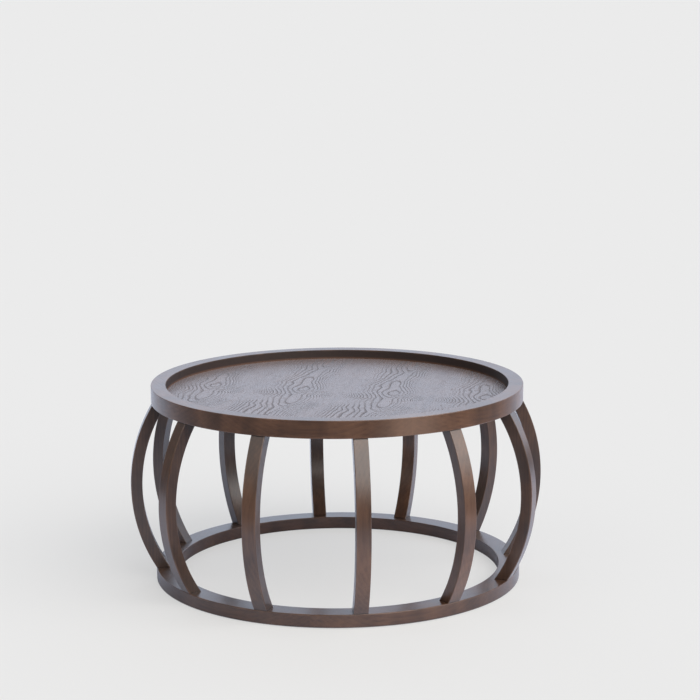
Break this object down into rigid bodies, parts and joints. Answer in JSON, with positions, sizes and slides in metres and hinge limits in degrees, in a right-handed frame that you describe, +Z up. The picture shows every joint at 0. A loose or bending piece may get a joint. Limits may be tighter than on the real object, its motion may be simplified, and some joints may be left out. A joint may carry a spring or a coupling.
{
  "type": "drum coffee table",
  "caption": "Low round drum-shaped table with a recessed tray top and a base ring joined by an open cage of outward-bowed wooden slats.",
  "frame": {"origin": "on the floor under the middle of the table", "axes": "+Z up; one slat faces the front, -Y; the slats stand at every 30 degrees from it"},
  "size_m": [0.95, 0.95, 0.454],
  "materials": {
    "stained_ash": "dark brown stain under satin lacquer",
    "ash_veneer": "dark brown stained open-pore veneer under satin lacquer",
    "backing_veneer": "plain stained veneer, matt",
    "board_core": "raw fibreboard",
    "joinery_wood": "raw beech",
    "pad_felt": "pressed felt"
  },
  "bodies": {
    "root": {"slat_01": "stained_ash", "slat_02": "stained_ash", "slat_03": "stained_ash", "slat_04": "stained_ash", "slat_05": "stained_ash", "slat_06": "stained_ash", "slat_07": "stained_ash", "slat_08": "stained_ash", "slat_09": "stained_ash", "slat_10": "stained_ash", "slat_11": "stained_ash", "slat_12": "stained_ash", "rim_segment_1": "stained_ash", "rim_segment_2": "stained_ash", "rim_segment_3": "stained_ash", "rim_segment_4": "stained_ash", "rim_segment_5": "stained_ash", "rim_segment_6": "stained_ash", "base_segment_1": "stained_ash", "base_segment_2": "stained_ash", "base_segment_3": "stained_ash", "base_segment_4": "stained_ash", "base_segment_5": "stained_ash", "base_segment_6": "stained_ash", "face_veneer_leaf_1": "ash_veneer", "face_veneer_leaf_2": "ash_veneer", "face_veneer_leaf_3": "ash_veneer", "face_veneer_leaf_4": "ash_veneer", "backing_veneer": "backing_veneer", "tray_board": "board_core", "rim_loose_tenons": "joinery_wood", "base_loose_tenons": "joinery_wood", "floor_pads": "pad_felt"}
  },
  "joints": []
}
